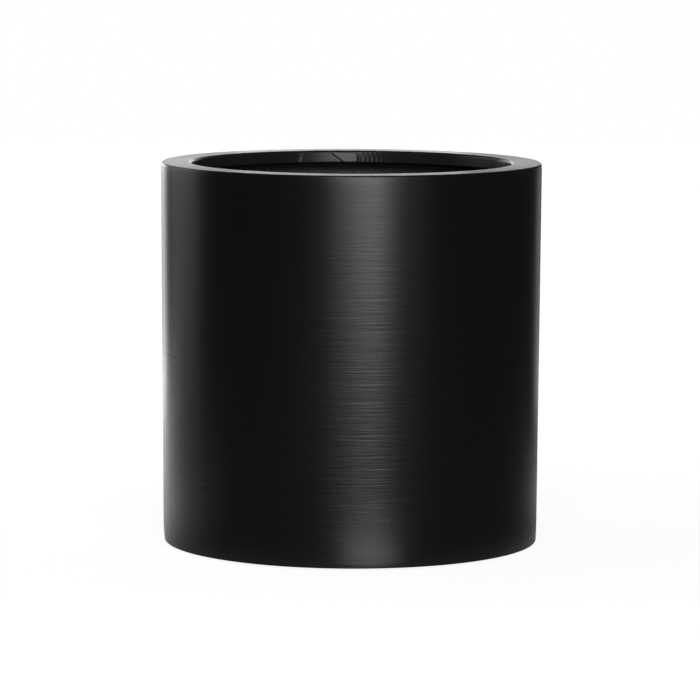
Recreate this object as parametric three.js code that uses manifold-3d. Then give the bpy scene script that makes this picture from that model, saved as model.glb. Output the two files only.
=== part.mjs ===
// A round floor planter in black glass-fibre laminate, as tall as it is wide.
//
// The wall is a slightly tapered tube. A rim ring is bonded on top of it: a flat flange with a
// leg that fits inside the wall and a lip that turns down round the mouth. A strip of glass tape
// lines the lip and laps over its own start at the back. A dished floor panel is bonded into the
// wall's foot with a laminated fillet, and stands on four rubber pads. A rubber plug closes the
// drain hole from inside and lifts straight out.
//
// Millimetres, +Z up. The origin is on the ground under the planter's centre; -Y is the front.

import * as THREE from 'three';
import { mergeVertices } from 'three/addons/utils/BufferGeometryUtils.js';
import Module from 'manifold-3d';

// ---------------------------------------------------------------------------------------------
// Driving dimensions
// ---------------------------------------------------------------------------------------------

// Shell
const topDiameter = 500; // outside, at the rim's top face
const wallDraft = 3; // how much closer to the axis the wall's foot is, to leave its mould
const shellHeight = 500; // wall's foot to the rim's top face
const wallThickness = 6;
const footEdgeRadius = 3; // outer corner at the wall's foot

// Rim ring
const rimWidth = 40; // outer edge to the taped lip's face, which bounds the mouth
const rimThickness = 6;
const rimOuterRadius = 4; // rounded outer edge of the top face
const rimInnerRadius = 2.5; // rounded inner edge of the top face
const lipDepth = 13; // top face to the lip's lower edge
const lipThickness = 5;
const lipEdgeRadius = 1.2; // both corners of the lip's lower edge
const legDepth = 22; // how far the bonding leg reaches down inside the wall
const legThickness = 4;
const rimRootRadius = 4; // fillets between the flange, the leg and the lip

// Glass tape on the lip
const tapeThickness = 1.2;
const tapeTopMargin = 3; // top face to the tape's upper edge
const tapeFootMargin = 1; // tape's lower edge to the lip's lower edge
const tapeLapLength = 60; // length over which the strip covers its own start
const tapeRampLength = 14; // length in which it climbs onto that start
const tapeSlant = 8; // how much shorter the finishing end is at its lower edge
const tapeEndAzimuth = 94.8; // degrees from +X: where the finishing end lies, at the back
const tapeTrim = 4; // laid beyond that end, and cut off

// Floor panel
const floorThickness = 6;
const footRingWidth = 42; // flat ring under the floor that carries the pads
const floorRecess = 8; // how far the floor's middle stands above that ring
const riserSlope = 45; // degrees: the cone between the ring and the middle
const drainDiameter = 25;
const drainChamfer = 1.5; // round the hole, on the inside

// Laminated fillet between the wall and the floor
const filletLeg = 24;

// Drain plug
const plugHeadDiameter = 40;
const plugHeadThickness = 3.5;
const plugHeadEdge = 1.5; // rounded edge of the head
const plugWeb = 3; // rubber left above the hollow in the stem
const plugStemTail = 3; // how far the stem shows below the floor
const plugStemWall = 3.5;
const plugRibCount = 2;
const plugRibDepth = 0.9;
const plugLead = 1; // chamfer that guides the stem into the hole

// Foot pads
const padDiameter = 30;
const padThickness = 2.5;
const padEdge = 0.5;
const padCount = 4;
const firstPadAzimuth = 45; // degrees from +X

// Fits
const bondLine = 0.3; // resin between bonded pieces
const plugClearance = 0.3; // round the plug's stem, and under its head

// Faceting
const roundSegments = 96; // round the shell
const smallSegments = 32; // round the plug and the pads
const edgeSteps = 4; // along a rounded edge that shows
const rootSteps = 2; // along a small or hidden corner

// ---------------------------------------------------------------------------------------------
// Levels and radii that several pieces share
// ---------------------------------------------------------------------------------------------

const footLevel = padThickness;
const topLevel = footLevel + shellHeight;
const wallTopLevel = topLevel - rimThickness - bondLine;
const ringTopLevel = footLevel + floorThickness;
const middleLevel = footLevel + floorRecess; // underside of the floor's middle
const middleTopLevel = middleLevel + floorThickness;
const drainRadius = drainDiameter / 2;

// Outside of the shell at height z.
function outerRadius(z) {
  return topDiameter / 2 - wallDraft * (1 - (z - footLevel) / shellHeight);
}

// Inside of the wall at height z.
function innerRadius(z) {
  return outerRadius(z) - wallThickness;
}

// What is bonded inside the wall ends here at height z.
function seatRadius(z) {
  return innerRadius(z) - bondLine;
}

const tapeFaceRadius = topDiameter / 2 - rimWidth;
const tapeSeatRadius = tapeFaceRadius + tapeThickness;
const lipFaceRadius = tapeSeatRadius + bondLine;
const footRingInnerRadius = seatRadius(footLevel) - footRingWidth;

// ---------------------------------------------------------------------------------------------
// Profiles: points (radius, height), traced anticlockwise round the section's material
// ---------------------------------------------------------------------------------------------

const point = (r, z) => new THREE.Vector2(r, z);

// A round corner as a run of points, from one angle to another in degrees about (r, z).
function corner(r, z, radius, fromDegrees, toDegrees, steps = edgeSteps) {
  const points = [];
  for (let i = 0; i <= steps; i++) {
    const a = THREE.MathUtils.degToRad(fromDegrees + ((toDegrees - fromDegrees) * i) / steps);
    points.push(point(r + radius * Math.cos(a), z + radius * Math.sin(a)));
  }
  return points;
}

// Turns a profile about Z. A ring's profile closes on itself; a disc's starts and ends on the axis.
function revolve(profile, segments, isRing) {
  const outline = isRing ? [...profile, profile[0].clone()] : profile;
  return new THREE.LatheGeometry(outline, segments).rotateX(Math.PI / 2);
}

// ---------------------------------------------------------------------------------------------
// Shell
// ---------------------------------------------------------------------------------------------

// Tapered tube with a rounded outer foot edge; its top edge carries the rim ring.
function sideWallGeometry() {
  const footCentre = footLevel + footEdgeRadius;
  const profile = [
    point(innerRadius(footLevel), footLevel),
    ...corner(outerRadius(footLevel) - footEdgeRadius, footCentre, footEdgeRadius, -90, 0),
    point(outerRadius(wallTopLevel), wallTopLevel),
    point(innerRadius(wallTopLevel), wallTopLevel),
  ];
  return revolve(profile, roundSegments, true);
}

// Flat flange with rounded edges, a bonding leg inside the wall and a turned-down lip.
function rimRingGeometry() {
  const underside = topLevel - rimThickness;
  const legFoot = topLevel - legDepth;
  const lipEdgeCentre = topLevel - lipDepth + lipEdgeRadius;
  const legOuterTop = seatRadius(underside);
  const legInner = seatRadius(legFoot) - legThickness;
  const lipOuter = lipFaceRadius + lipThickness;
  const rootLevel = underside - rimRootRadius;
  const profile = [
    ...corner(
      outerRadius(topLevel) - rimOuterRadius, topLevel - rimOuterRadius, rimOuterRadius, 0, 90,
    ),
    ...corner(
      lipFaceRadius + rimInnerRadius, topLevel - rimInnerRadius, rimInnerRadius, 90, 180,
    ),
    ...corner(lipFaceRadius + lipEdgeRadius, lipEdgeCentre, lipEdgeRadius, 180, 270, rootSteps),
    ...corner(lipOuter - lipEdgeRadius, lipEdgeCentre, lipEdgeRadius, 270, 360, rootSteps),
    ...corner(lipOuter + rimRootRadius, rootLevel, rimRootRadius, 180, 90, rootSteps),
    ...corner(legInner - rimRootRadius, rootLevel, rimRootRadius, 90, 0, rootSteps),
    point(legInner, legFoot),
    point(seatRadius(legFoot), legFoot),
    point(legOuterTop, underside),
    point(outerRadius(underside), underside),
  ];
  return revolve(profile, roundSegments, true);
}

// ---------------------------------------------------------------------------------------------
// Glass tape: one strip that runs round the lip and climbs over its own start
// ---------------------------------------------------------------------------------------------

const wasm = await Module();
wasm.setup();

function toSolid(geometry) {
  const bare = geometry.clone();
  bare.deleteAttribute('normal');
  bare.deleteAttribute('uv');
  const merged = mergeVertices(bare);
  return new wasm.Manifold(
    new wasm.Mesh({
      numProp: 3,
      vertProperties: merged.attributes.position.array,
      triVerts: new Uint32Array(merged.index.array),
    }),
  );
}

function toGeometry(solid) {
  const mesh = solid.getMesh();
  const geometry = new THREE.BufferGeometry();
  geometry.setAttribute('position', new THREE.BufferAttribute(mesh.vertProperties, mesh.numProp));
  geometry.setIndex(new THREE.BufferAttribute(mesh.triVerts, 1));
  return geometry;
}

// Angle in radians that an arc of this length spans on the tape's seat.
const arcAngle = (length) => length / tapeSeatRadius;

// How far the strip has left its seat, at an angle measured along it from its start.
function tapeLift(along) {
  const rampEnd = 2 * Math.PI - arcAngle(bondLine);
  const rampStart = rampEnd - arcAngle(tapeRampLength);
  return (tapeThickness + bondLine) * THREE.MathUtils.smoothstep(along, rampStart, rampEnd);
}

// The strip seen from above: out along its seat side and back along its face.
function tapeOutline() {
  const whole = 2 * Math.PI + arcAngle(tapeLapLength + tapeTrim);
  const start = THREE.MathUtils.degToRad(tapeEndAzimuth) - arcAngle(tapeLapLength);
  const steps = 2 * roundSegments;
  const seatSide = [];
  const faceSide = [];
  for (let i = 0; i <= steps; i++) {
    const along = (whole * i) / steps;
    const seat = tapeSeatRadius - tapeLift(along);
    const direction = point(Math.cos(start + along), Math.sin(start + along));
    seatSide.push(direction.clone().multiplyScalar(seat));
    faceSide.push(direction.clone().multiplyScalar(seat - tapeThickness));
  }
  return [...seatSide, ...faceSide.reverse()];
}

// Upright block that trims the strip along a slant, so that its end is shorter at its lower edge.
function tapeEndCutter(width) {
  const over = tapeThickness; // past the strip above, below and towards the mouth
  const lean = tapeSlant / width;
  const outline = new THREE.Shape([
    point(-lean * over, width + over),
    point(-2 * tapeTrim, width + over),
    point(-2 * tapeTrim, -over),
    point(lean * (width + over), -over),
  ]);
  const block = new THREE.ExtrudeGeometry(outline, {
    depth: tapeThickness + 2 * over,
    bevelEnabled: false,
  });
  const finish = THREE.MathUtils.degToRad(tapeEndAzimuth);
  const inwards = new THREE.Vector3(-Math.cos(finish), -Math.sin(finish), 0);
  const up = new THREE.Vector3(0, 0, 1);
  const backAlongStrip = new THREE.Vector3().crossVectors(up, inwards);
  const place = inwards.clone().multiplyScalar(-(tapeSeatRadius - tapeThickness - bondLine / 2));
  const basis = new THREE.Matrix4().makeBasis(backAlongStrip, up, inwards);
  return block.applyMatrix4(basis.setPosition(place));
}

function lipTapeGeometry() {
  const bottom = topLevel - lipDepth + tapeFootMargin;
  const width = lipDepth - tapeFootMargin - tapeTopMargin;
  const strip = new THREE.ExtrudeGeometry(new THREE.Shape(tapeOutline()), {
    depth: width,
    bevelEnabled: false,
  });
  const trimmed = toSolid(strip).subtract(toSolid(tapeEndCutter(width)));
  return toGeometry(trimmed).translate(0, 0, bottom);
}

// ---------------------------------------------------------------------------------------------
// Floor
// ---------------------------------------------------------------------------------------------

// Dished panel: a flat foot ring, a conical riser and a raised middle with the drain hole.
function floorPanelGeometry() {
  const run = floorRecess / Math.tan(THREE.MathUtils.degToRad(riserSlope));
  const profile = [
    point(footRingInnerRadius, footLevel),
    point(seatRadius(footLevel), footLevel),
    point(seatRadius(ringTopLevel), ringTopLevel),
    point(footRingInnerRadius, ringTopLevel),
    point(footRingInnerRadius - run, middleTopLevel),
    point(drainRadius + drainChamfer, middleTopLevel),
    point(drainRadius, middleTopLevel - drainChamfer),
    point(drainRadius, middleLevel),
    point(footRingInnerRadius - run, middleLevel),
  ];
  return revolve(profile, roundSegments, true);
}

// Hollow-faced fillet of resin and mat in the corner between the floor and the wall.
function floorFilletGeometry() {
  const foot = ringTopLevel + bondLine;
  const top = foot + filletLeg;
  const outer = seatRadius(foot);
  const profile = [
    point(outer, foot),
    point(seatRadius(top), top),
    ...corner(outer - filletLeg, top, filletLeg, 0, -90).slice(1),
  ];
  return revolve(profile, roundSegments, true);
}

// ---------------------------------------------------------------------------------------------
// Drain plug and foot pads
// ---------------------------------------------------------------------------------------------

// Mushroom-shaped rubber bung with sealing ribs and a stem that is hollow from below.
function drainPlugGeometry() {
  const headFoot = middleTopLevel + plugClearance;
  const headTop = headFoot + plugHeadThickness;
  const stemFoot = middleLevel - plugStemTail;
  const ribRadius = drainRadius - plugClearance;
  const stemRadius = ribRadius - plugRibDepth;
  const hollowRadius = stemRadius - plugStemWall;
  const headRadius = plugHeadDiameter / 2;
  const ribPitch = (headFoot - stemFoot - plugLead) / (plugRibCount + 1);
  const ribs = [];
  for (let i = 1; i <= plugRibCount; i++) {
    const crest = stemFoot + plugLead + ribPitch * i;
    ribs.push(
      point(stemRadius, crest - ribPitch / 3),
      point(ribRadius, crest),
      point(stemRadius, crest + ribPitch / 3),
    );
  }
  const profile = [
    point(0, headTop - plugWeb),
    point(hollowRadius, headTop - plugWeb),
    point(hollowRadius, stemFoot),
    point(stemRadius - plugLead, stemFoot),
    point(stemRadius, stemFoot + plugLead),
    ...ribs,
    point(stemRadius, headFoot),
    point(headRadius, headFoot),
    ...corner(headRadius - plugHeadEdge, headTop - plugHeadEdge, plugHeadEdge, 0, 90),
    point(0, headTop),
  ];
  return revolve(profile, smallSegments, false);
}

function footPadGeometry() {
  const radius = padDiameter / 2;
  const profile = [
    point(0, 0),
    point(radius - padEdge, 0),
    point(radius, padEdge),
    point(radius, padThickness),
    point(0, padThickness),
  ];
  return revolve(profile, smallSegments, false);
}

// ---------------------------------------------------------------------------------------------
// Assembly
// ---------------------------------------------------------------------------------------------

const blackPaint = { color: 0x161617, roughness: 0.42, metalness: 0 };
const rawLaminate = { color: 0x1c1c1d, roughness: 0.75, metalness: 0 };
const blackRubber = { color: 0x121212, roughness: 0.85, metalness: 0 };

function piece(name, geometry, finish) {
  const mesh = new THREE.Mesh(geometry, new THREE.MeshStandardMaterial(finish));
  mesh.name = name;
  return mesh;
}

function footPads() {
  const pads = new THREE.Group();
  const pitchRadius = seatRadius(footLevel) - footRingWidth / 2;
  for (let i = 0; i < padCount; i++) {
    const azimuth = THREE.MathUtils.degToRad(firstPadAzimuth + (360 * i) / padCount);
    const pad = piece(`foot_pad_${i + 1}`, footPadGeometry(), blackRubber);
    pad.position.set(pitchRadius * Math.cos(azimuth), pitchRadius * Math.sin(azimuth), 0);
    pads.add(pad);
  }
  return pads;
}

const planter = new THREE.Group();
planter.add(
  piece('side_wall', sideWallGeometry(), blackPaint),
  piece('rim_ring', rimRingGeometry(), blackPaint),
  piece('lip_tape', lipTapeGeometry(), blackPaint),
  piece('floor_panel', floorPanelGeometry(), rawLaminate),
  piece('floor_fillet', floorFilletGeometry(), rawLaminate),
  piece('drain_plug', drainPlugGeometry(), blackRubber),
  footPads(),
);

export default planter;
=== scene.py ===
"""A round black fibreglass floor planter: its visible pieces, finishes, studio and camera.

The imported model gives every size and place. Each sub-assembly below is a class that reads its
sizes from the frame, builds its meshes and dresses them. Lengths are in metres unless a name
ends in _mm.
"""

import logging
import math
from dataclasses import dataclass, field
from enum import Enum
from functools import partial
from typing import Any, Callable

import bpy
import numpy as np
from bpy.types import ID, Material, Mesh, Node, NodeSocket, NodeTree, Object
from mathutils import Euler, Matrix, Vector


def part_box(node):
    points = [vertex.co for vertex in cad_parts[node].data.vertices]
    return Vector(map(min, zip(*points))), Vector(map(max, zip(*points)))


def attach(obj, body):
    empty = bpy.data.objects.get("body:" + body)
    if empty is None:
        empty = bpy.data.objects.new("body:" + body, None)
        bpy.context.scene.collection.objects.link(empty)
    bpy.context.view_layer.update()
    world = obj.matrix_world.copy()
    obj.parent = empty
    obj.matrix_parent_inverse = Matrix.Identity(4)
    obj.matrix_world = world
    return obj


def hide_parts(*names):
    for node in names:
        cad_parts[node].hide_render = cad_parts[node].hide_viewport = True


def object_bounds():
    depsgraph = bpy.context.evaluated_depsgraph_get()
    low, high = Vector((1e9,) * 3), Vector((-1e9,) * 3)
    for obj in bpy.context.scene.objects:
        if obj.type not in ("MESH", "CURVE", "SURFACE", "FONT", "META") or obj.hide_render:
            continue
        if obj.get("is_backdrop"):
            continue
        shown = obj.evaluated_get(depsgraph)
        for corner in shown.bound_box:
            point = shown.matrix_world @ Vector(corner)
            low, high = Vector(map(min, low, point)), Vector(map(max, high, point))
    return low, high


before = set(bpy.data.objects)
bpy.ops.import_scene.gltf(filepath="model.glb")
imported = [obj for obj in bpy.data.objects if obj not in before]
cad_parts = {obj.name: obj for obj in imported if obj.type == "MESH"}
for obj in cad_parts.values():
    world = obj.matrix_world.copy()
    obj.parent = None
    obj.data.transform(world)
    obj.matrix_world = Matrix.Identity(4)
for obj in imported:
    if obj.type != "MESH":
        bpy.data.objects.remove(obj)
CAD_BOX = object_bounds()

log = logging.getLogger("planter")

Box = tuple[Vector, Vector]
Adder = Callable[..., Node]
Wear = Callable[[float, float], float]

MM = 0.001

MATH = "ShaderNodeMath"
VECTOR = "ShaderNodeVectorMath"
SPLIT = "ShaderNodeSeparateXYZ"
JOIN = "ShaderNodeCombineXYZ"
PLACE = "ShaderNodeTexCoord"
NOISE = "ShaderNodeTexNoise"
BUMP = "ShaderNodeBump"
FADE = "ShaderNodeMapRange"
SHADER = "ShaderNodeBsdfPrincipled"
SURFACE = "ShaderNodeOutputMaterial"
READ = "GeometryNodeInputNamedAttribute"
STORE = "GeometryNodeStoreNamedAttribute"
MOVE = "GeometryNodeSetPosition"
COPY = "GeometryNodeInstanceOnPoints"
REALIZE = "GeometryNodeRealizeInstances"
DRESS = "GeometryNodeSetMaterial"
RESULT = "NodeGroupOutput"

NUMBER = "NodeSocketFloat"
COUNT = "NodeSocketInt"
FINISH = "NodeSocketMaterial"
SHAPE = "NodeSocketGeometry"

WELD = 2e-6  # points nearer than this become one, at the seam and at the poles
WEAR_FOCUS = 3.0  # how closely the wear keeps to its side
WORKED_DETAIL = 2.0
STRAND_POINTS = 7  # enough for a strand to follow the wall's curve
UPWARD_SHARE = 0.1  # turns the search for inner faces a little upwards, so that it finds the floor


class Body(Enum):
    """Bodies of the frame that pieces ride on."""

    PLANTER = "planter"
    PLUG = "plug"


class Slot(Enum):
    """Named material slots."""

    PAINT = "black_paint"
    LAMINATE = "raw_laminate"
    RUBBER = "black_rubber"


class Lay(Enum):
    """How a stretch of an outline was finished; the value is its share of raw laminate."""

    PAINTED = 0.0
    RAW = 1.0


def cad_box(node: str) -> Any:
    """Makes a field that holds the box of a CAD node."""
    return field(default_factory=lambda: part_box(node))


# ---- Nodes and colours ----


def linear(colour: str) -> tuple[float, float, float, float]:
    """Turns an sRGB hex colour into linear light.

    Args:
        colour: the colour as "#rrggbb".

    Returns:
        Red, green, blue and an alpha of 1.
    """
    channels = [int(colour[i : i + 2], 16) / 255 for i in (1, 3, 5)]
    red, green, blue = [c / 12.92 if c <= 0.04045 else ((c + 0.055) / 1.055) ** 2.4 for c in channels]
    return red, green, blue, 1.0


def add_node(
    tree: NodeTree, kind: str, inputs: dict[Any, Any] | tuple[Any, ...] = (), **settings: Any
) -> Node:
    """Adds a node with its settings, input values and links.

    Args:
        tree: the node tree it goes into.
        kind: the node's type name.
        inputs: a value for each input, by name or number, or in their order. An output socket
            or a node is linked instead, a node by its first output in use.
        **settings: properties of the node, such as its operation.

    Returns:
        The new node.
    """
    node = tree.nodes.new(kind)
    for name, setting in settings.items():
        setattr(node, name, setting)
    for key, value in inputs.items() if isinstance(inputs, dict) else enumerate(inputs):
        if isinstance(value, Node):
            value = next(socket for socket in value.outputs if socket.enabled)
        if isinstance(value, NodeSocket):
            tree.links.new(value, node.inputs[key])
        else:
            node.inputs[key].default_value = value
    return node


def new_material(name: str) -> tuple[Material, Adder]:
    """Makes an empty node material.

    Args:
        name: the finish's plain name.

    Returns:
        The material, and add_node for its tree.
    """
    material = bpy.data.materials.new(name)
    material.use_nodes = True
    material.node_tree.nodes.clear()
    return material, partial(add_node, material.node_tree)


# ---- Finishes ----


@dataclass(frozen=True)
class Lines:
    """One set of level lines in the paint film, in millimetres."""

    pitch: float
    length: float  # how far a line runs before it changes
    height: float


@dataclass(frozen=True)
class SatinPaint:
    """Two-pack polyurethane paint, sprayed black over laminate and rubbed down round the axis.

    The rubbing leaves fine level lines in the film, and the laminate under it a slow waviness.
    They throw a reflection up and down, so a lamp shows as an upright band that is broken into
    short level streaks.
    """

    name: str = "satin_black_polyurethane"
    colour: str = "#101011"
    roughness: float = 0.3
    roughness_spread: float = 0.05
    anisotropy: float = 0.55
    ior: float = 1.5
    lines: tuple[Lines, ...] = (  # real ones are finer than 0.1 mm; these are coarse enough to show
        Lines(12.0, 110.0, 0.2),
        Lines(5.0, 80.0, 0.17),
        Lines(1.6, 60.0, 0.15),
    )
    line_seed: float = 31.0  # sets the sets of lines apart
    line_detail: float = 1.0
    gloss_turn: float = 0.25  # turns the wider gloss from level to upright
    head_depth: float = 0.4  # the lines are rubbed deeper on their way down the wall
    head_height: float = 0.45
    foot_depth: float = 1.6

    def streaks(self, add: Adder, lines: Lines, seed: float) -> Node:
        """Adds noise drawn out round the axis, on the wall and on the rim alike.

        Args:
            add: add_node for the material's tree.
            lines: their pitch and length.
            seed: shifts the pattern along the axis.

        Returns:
            A node that gives a value from 0 to 1.
        """
        place = add(PLACE).outputs["Object"]
        parts = add(SPLIT, (place,)).outputs
        flat = add(JOIN, (*parts[:2],))
        radius = add(VECTOR, (flat,), operation="LENGTH")
        across = add(MATH, (parts[2], radius), operation="SUBTRACT")
        steps = [add(MATH, (part, lines.length * MM), operation="DIVIDE") for part in parts[:2]]
        rank = add(MATH, (across, 1 / (lines.pitch * MM), seed), operation="MULTIPLY_ADD")
        drawn = add(JOIN, (*steps, rank))
        return add(NOISE, {"Vector": drawn, "Scale": 1.0, "Detail": self.line_detail})

    def material(self) -> Material:
        """Builds the paint.

        Returns:
            The material.
        """
        made, add = new_material(self.name)
        bump = add("ShaderNodeNewGeometry").outputs["Normal"]
        place = add(PLACE).outputs["Object"]
        depth = add(
            FADE,
            {
                "Value": add(SPLIT, (place,)).outputs[2],
                "From Max": self.head_height,
                "To Min": self.foot_depth,
                "To Max": self.head_depth,
            },
        )
        for i, lines in enumerate(self.lines):
            height = self.streaks(add, lines, self.line_seed * i)
            relief = add(MATH, (height, depth), operation="MULTIPLY")
            bump = add(BUMP, {"Height": relief, "Distance": lines.height * MM, "Normal": bump})
        low = self.roughness - self.roughness_spread
        roughness = add(MATH, (height, 2 * self.roughness_spread, low), operation="MULTIPLY_ADD")
        axis = add(JOIN, (0.0, 0.0, 1.0))
        level = add(VECTOR, (axis, place), operation="CROSS_PRODUCT")
        shader = add(
            SHADER,
            {
                "Base Color": linear(self.colour),
                "Roughness": roughness,
                "IOR": self.ior,
                "Anisotropic": self.anisotropy,
                "Anisotropic Rotation": self.gloss_turn,
                "Tangent": level,
                "Normal": bump,
            },
        )
        add(SURFACE, (shader,))
        return made


@dataclass(frozen=True)
class RawLaminate:
    """Chopped-strand glass mat in black-pigmented polyester, as it leaves the roller.

    Bundles of strands print through the resin in every direction, resin pools shine between
    them, and the whole reads as a dark, blotchy, rough skin.
    """

    name: str = "raw_chopped_strand_laminate"
    resin: str = "#2a2a2a"
    fibre: str = "#464646"
    resin_roughness: float = 0.32
    strand_roughness: float = 0.3  # what a strand adds
    ior: float = 1.55
    bundle_width_mm: float = 1.6
    bundle_length_mm: float = 26.0
    patch_mm: float = 14.0
    patch_axis: tuple[float, float, float] = (0.4, 0.5, 0.77)  # across no face of the planter
    bundle_detail: float = 3.0
    relief_mm: float = 0.35

    def bundles(self, add: Adder) -> Node:
        """Adds patches of strands, each patch lying in a direction of its own.

        Args:
            add: add_node for the material's tree.

        Returns:
            A node that gives a value from 0 to 1.
        """
        place = add(PLACE).outputs["Object"]
        patches = add(
            "ShaderNodeTexVoronoi", {"Vector": place, "Scale": 1 / (self.patch_mm * MM)}
        ).outputs["Color"]
        angle = add(MATH, (patches, 2 * math.pi), operation="MULTIPLY")
        turned = add("ShaderNodeVectorRotate", {"Vector": place, "Axis": self.patch_axis, "Angle": angle})
        across, along = 1 / (self.bundle_width_mm * MM), 1 / (self.bundle_length_mm * MM)
        drawn = add(VECTOR, (turned, (across, along, across)), operation="MULTIPLY")
        return add(NOISE, {"Vector": drawn, "Scale": 1.0, "Detail": self.bundle_detail})

    def material(self) -> Material:
        """Builds the laminate.

        Returns:
            The material.
        """
        made, add = new_material(self.name)
        strands = self.bundles(add)
        colour = add(
            "ShaderNodeMix",
            {"Factor": strands, "A": linear(self.resin), "B": linear(self.fibre)},
            data_type="RGBA",
        )
        bump = add(BUMP, {"Height": strands, "Distance": self.relief_mm * MM})
        roughness = add(
            MATH, (strands, self.strand_roughness, self.resin_roughness), operation="MULTIPLY_ADD"
        )
        shader = add(
            SHADER, {"Base Color": colour, "Roughness": roughness, "IOR": self.ior, "Normal": bump}
        )
        add(SURFACE, (shader,))
        return made


@dataclass(frozen=True)
class MouldedRubber:
    """Black EPDM rubber from a sand-blasted mould: dead matt, with a fine even grain."""

    name: str = "moulded_epdm_rubber"
    colour: str = "#101010"
    roughness: float = 0.72
    roughness_spread: float = 0.06
    grain_mm: float = 0.6
    relief_mm: float = 0.03

    def material(self) -> Material:
        """Builds the rubber.

        Returns:
            The material.
        """
        made, add = new_material(self.name)
        place = add(PLACE).outputs["Object"]
        grain = add(NOISE, {"Vector": place, "Scale": 1 / (self.grain_mm * MM)})
        bump = add(BUMP, {"Height": grain, "Distance": self.relief_mm * MM})
        low = self.roughness - self.roughness_spread
        roughness = add(MATH, (grain, 2 * self.roughness_spread, low), operation="MULTIPLY_ADD")
        shader = add(SHADER, {"Base Color": linear(self.colour), "Roughness": roughness, "Normal": bump})
        add(SURFACE, (shader,))
        return made


@dataclass
class Finishes:
    """The planter's materials, made once and shared."""

    paint: Material = field(default_factory=lambda: SatinPaint().material())
    dulled_paint: Material = field(  # rubbed down on the tape and never polished
        default_factory=lambda: SatinPaint("dulled_black_polyurethane", "#2a2a2a").material()
    )
    laminate: Material = field(default_factory=lambda: RawLaminate().material())
    rubber: Material = field(default_factory=lambda: MouldedRubber().material())


# ---- Meshes ----


def link_object(name: str, data: ID) -> Object:
    """Puts a mesh, a lamp or a camera into the scene.

    Args:
        name: the object's name.
        data: what it shows.

    Returns:
        The object, at the origin.
    """
    made = bpy.data.objects.new(name, data)
    bpy.context.scene.collection.objects.link(made)
    return made


def enclosed_volume(mesh: Mesh) -> float:
    """Measures a closed mesh; the result is negative where its faces point inwards.

    Args:
        mesh: a closed mesh.

    Returns:
        The volume in cubic metres.
    """
    mesh.calc_loop_triangles()
    corners = np.empty(len(mesh.vertices) * 3)
    mesh.vertices.foreach_get("co", corners)
    faces = np.empty(len(mesh.loop_triangles) * 3, dtype=np.int64)
    mesh.loop_triangles.foreach_get("vertices", faces)
    a, b, c = np.moveaxis(corners.reshape(-1, 3)[faces.reshape(-1, 3)], 1, 0)
    return float(np.einsum("ij,ij->i", a, np.cross(b, c)).sum() / 6)


@dataclass
class Outline:
    """A turned section, traced anticlockwise round its material as (radius, height, lay)."""

    points: list[tuple[float, float, float]] = field(default_factory=list)

    def to(self, r: float, z: float, lay: Lay, steps: int = 1) -> "Outline":
        """Goes straight to a point.

        Args:
            r: the point's radius.
            z: its height.
            lay: how the stretch is finished.
            steps: how many parts the stretch is cut into.

        Returns:
            The outline itself.
        """
        if not self.points:
            self.points.append((r, z, lay.value))
            return self
        start_r, start_z, _ = self.points[-1]
        for i in range(1, steps + 1):
            share = i / steps
            self.points.append(
                (start_r + (r - start_r) * share, start_z + (z - start_z) * share, lay.value)
            )
        return self

    def sweep(
        self, radius_at: Callable[[float], float], start: float, end: float, lay: Lay, steps: int
    ) -> "Outline":
        """Follows a wall from one height to another.

        Args:
            radius_at: gives the wall's radius at a height.
            start: the height where it starts, which the outline has already reached.
            end: the height where it ends.
            lay: how the wall is finished.
            steps: how many parts it is cut into.

        Returns:
            The outline itself.
        """
        for i in range(1, steps + 1):
            z = start + (end - start) * i / steps
            self.points.append((radius_at(z), z, lay.value))
        return self

    def arc(
        self,
        centre: tuple[float, float],
        radius: float,
        degrees: tuple[float, float],
        lay: Lay,
        steps: int = 8,
    ) -> "Outline":
        """Goes round an arc, from one angle to another.

        Args:
            centre: the arc's (radius, height).
            radius: the arc's own radius.
            degrees: where it starts and ends, 0 pointing away from the axis and 90 up.
            lay: how the stretch is finished.
            steps: how many parts the arc is cut into.

        Returns:
            The outline itself.
        """
        for i in range(steps + 1):
            a = math.radians(degrees[0] + (degrees[1] - degrees[0]) * i / steps)
            self.points.append(
                (centre[0] + radius * math.cos(a), centre[1] + radius * math.sin(a), lay.value)
            )
        return self

    def mesh(self, name: str, wear: Wear) -> Mesh:
        """Makes the points a mesh that carries each point's lay and its share of the wear.

        Args:
            name: the mesh's name.
            wear: gives the share of the wear at a radius and height.

        Returns:
            The mesh, in the plane of X and Z.
        """
        made = bpy.data.meshes.new(name)
        made.from_pydata([(r, 0.0, z) for r, z, _ in self.points], [], [])
        lay = made.attributes.new("lay", "FLOAT", "POINT")
        lay.data.foreach_set("value", [value for _, _, value in self.points])
        worn = made.attributes.new("wear", "FLOAT", "POINT")
        worn.data.foreach_set("value", [wear(r, z) for r, z, _ in self.points])
        return made


@dataclass
class NodeRecipe:
    """A Geometry Nodes tree and the values that one piece gives to its named inputs."""

    tree: NodeTree
    values: dict[str, Any]

    def run(self, name: str, base: Mesh) -> Object:
        """Runs the tree on a mesh and keeps the result as a plain mesh.

        Args:
            name: the finished piece's name.
            base: the mesh that the tree is given.

        Returns:
            The finished piece.
        """
        made = link_object(name, base)
        modifier = made.modifiers.new("recipe", "NODES")
        modifier.node_group = self.tree
        for socket in self.tree.interface.items_tree:
            if socket.in_out == "INPUT" and socket.name in self.values:
                modifier[socket.identifier] = self.values[socket.name]
        depsgraph = bpy.context.evaluated_depsgraph_get()
        result = bpy.data.meshes.new_from_object(made.evaluated_get(depsgraph))
        made.modifiers.remove(modifier)
        made.data = result
        result.name = name
        bpy.data.meshes.remove(base)
        return made


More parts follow.
